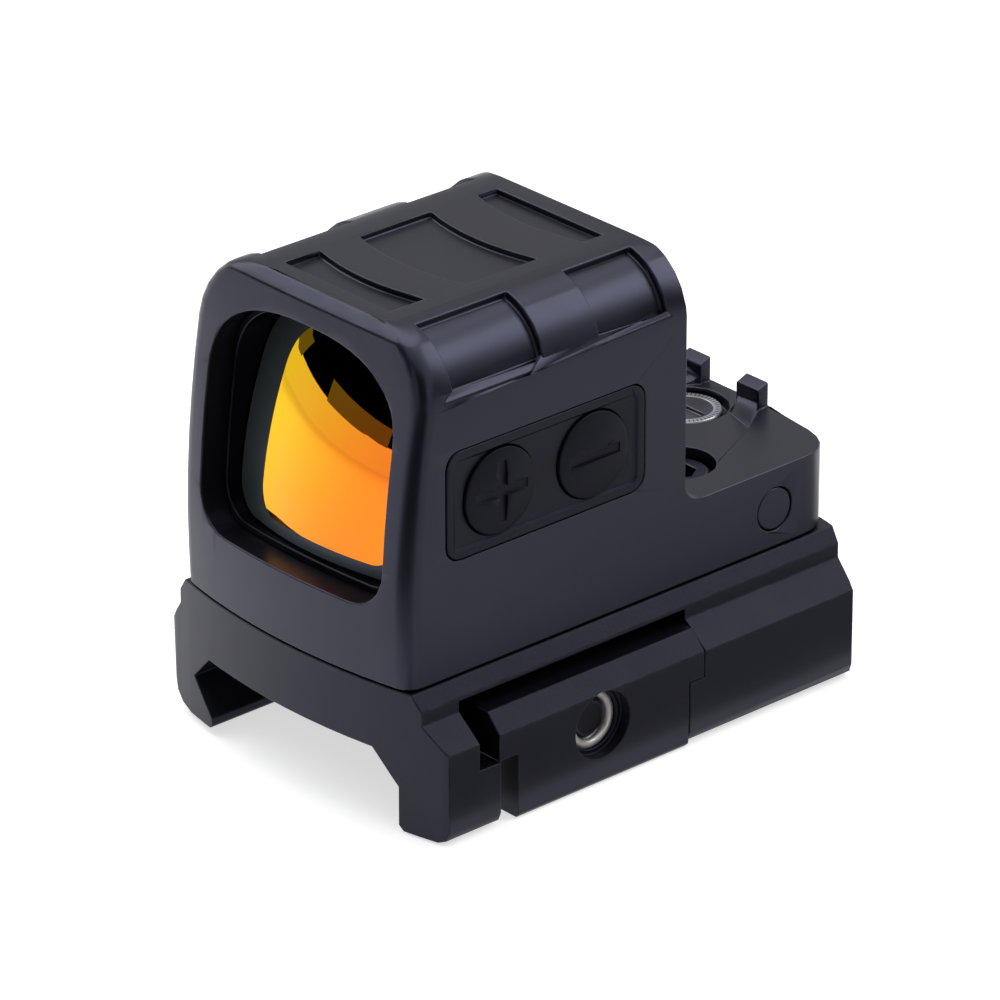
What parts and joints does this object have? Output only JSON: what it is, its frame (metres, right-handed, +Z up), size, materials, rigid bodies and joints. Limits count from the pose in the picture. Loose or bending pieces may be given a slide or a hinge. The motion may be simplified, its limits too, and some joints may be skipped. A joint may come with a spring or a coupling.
{
  "type": "red dot finder",
  "caption": "Enclosed red dot finder in black anodised metal with a leaning amber lens, side keypad, coin cell drawer, dial adjusters and a cross-bolt rail clamp.",
  "frame": {"origin": "middle of the underside of the bounding box, at the foot of the clamp jaw", "axes": "+Y along the line of sight from the coated lens to the rear window, +X towards the keypad side, +Z up"},
  "size_m": [0.0296, 0.0418, 0.0354],
  "materials": {
    "black_anodised": "satin black anodised, bead blasted",
    "coated_glass": "polished, amber dichroic coating",
    "clear_glass": "polished, anti-reflection coating",
    "black_rubber": "moulded matt",
    "amber_film": "polyimide film",
    "spring_steel": "spring temper",
    "black_steel": "black oxide",
    "bright_steel": "bright drawn",
    "cell_steel": "nickel plated",
    "brass": "machined",
    "board": "solder mask over glass laminate",
    "led_lens": "moulded clear"
  },
  "bodies": {
    "sight": {"housing": "black_anodised", "objective_lens": "coated_glass", "lens_seal": "black_rubber", "lens_retainer": "black_anodised", "rear_window": "clear_glass", "rear_bezel": "black_anodised", "keypad": "black_rubber", "keypad_flex": "amber_film", "plus_dome": "spring_steel", "minus_dome": "spring_steel", "elevation_ring": "black_rubber", "windage_ring": "black_rubber", "windage_spring": "spring_steel", "side_plug": "black_anodised", "contact_upper": "spring_steel", "contact_end": "spring_steel", "control_board": "board", "bottom_plate": "black_anodised", "base_gasket": "black_rubber", "housing_screw_left": "black_steel", "housing_screw_right": "black_steel", "rail_base": "black_anodised", "guide_pin_front": "bright_steel", "guide_pin_rear": "bright_steel"},
    "plus_key": {"plus_button": "black_rubber"},
    "minus_key": {"minus_button": "black_rubber"},
    "elevation_dial": {"elevation_screw": "black_steel"},
    "windage_dial": {"windage_screw": "black_steel"},
    "windage_slider": {"windage_block": "brass"},
    "emitter": {"emitter_arm": "brass", "emitter_board": "board", "emitter_led": "led_lens"},
    "battery_drawer": {"battery_tray": "black_anodised", "coin_cell": "cell_steel", "tray_screw": "black_steel"},
    "clamp_bolt": {"clamp_screw": "black_steel"},
    "jaw": {"clamp_jaw": "black_anodised", "thread_insert": "bright_steel"}
  },
  "joints": [
    {"name": "plus_press", "type": "slide", "parent": "sight", "child": "plus_key", "axis": [-1, 0, 0], "range_m": [0, 0.00025], "stiffness_N_per_m": 800},
    {"name": "minus_press", "type": "slide", "parent": "sight", "child": "minus_key", "axis": [-1, 0, 0], "range_m": [0, 0.00025], "stiffness_N_per_m": 800},
    {"name": "elevation_turn", "type": "hinge", "parent": "sight", "child": "elevation_dial", "pos_m": [0, 0.0166, 0.015], "axis": [0, 0, 1], "range_deg": [-258, 258]},
    {"name": "windage_turn", "type": "hinge", "parent": "sight", "child": "windage_dial", "pos_m": [0, 0.01405, 0.01365], "axis": [1, 0, 0], "range_deg": [-258, 258]},
    {"name": "windage_slide", "type": "slide", "parent": "sight", "child": "windage_slider", "axis": [1, 0, 0], "range_m": [-0.00025, 0.00025]},
    {"name": "elevation_slide", "type": "slide", "parent": "windage_slider", "child": "emitter", "axis": [0, 0, 1], "range_m": [-0.00025, 0.00025]},
    {"name": "drawer_slide", "type": "slide", "parent": "sight", "child": "battery_drawer", "axis": [-1, 0, 0], "range_m": [0, 0.02]},
    {"name": "bolt_turn", "type": "hinge", "parent": "sight", "child": "clamp_bolt", "pos_m": [0, -0.0048, 0.00446], "axis": [-1, 0, 0], "range_deg": [0, 1440]},
    {"name": "jaw_slide", "type": "slide", "parent": "sight", "child": "jaw", "axis": [1, 0, 0], "range_m": [0, 0.002]}
  ],
  "couplings": [
    {"joint": "windage_turn", "follows": "windage_slide", "rad_per_m": -17952},
    {"joint": "elevation_turn", "follows": "elevation_slide", "rad_per_m": -17952},
    {"joint": "bolt_turn", "follows": "jaw_slide", "rad_per_m": 12566}
  ]
}
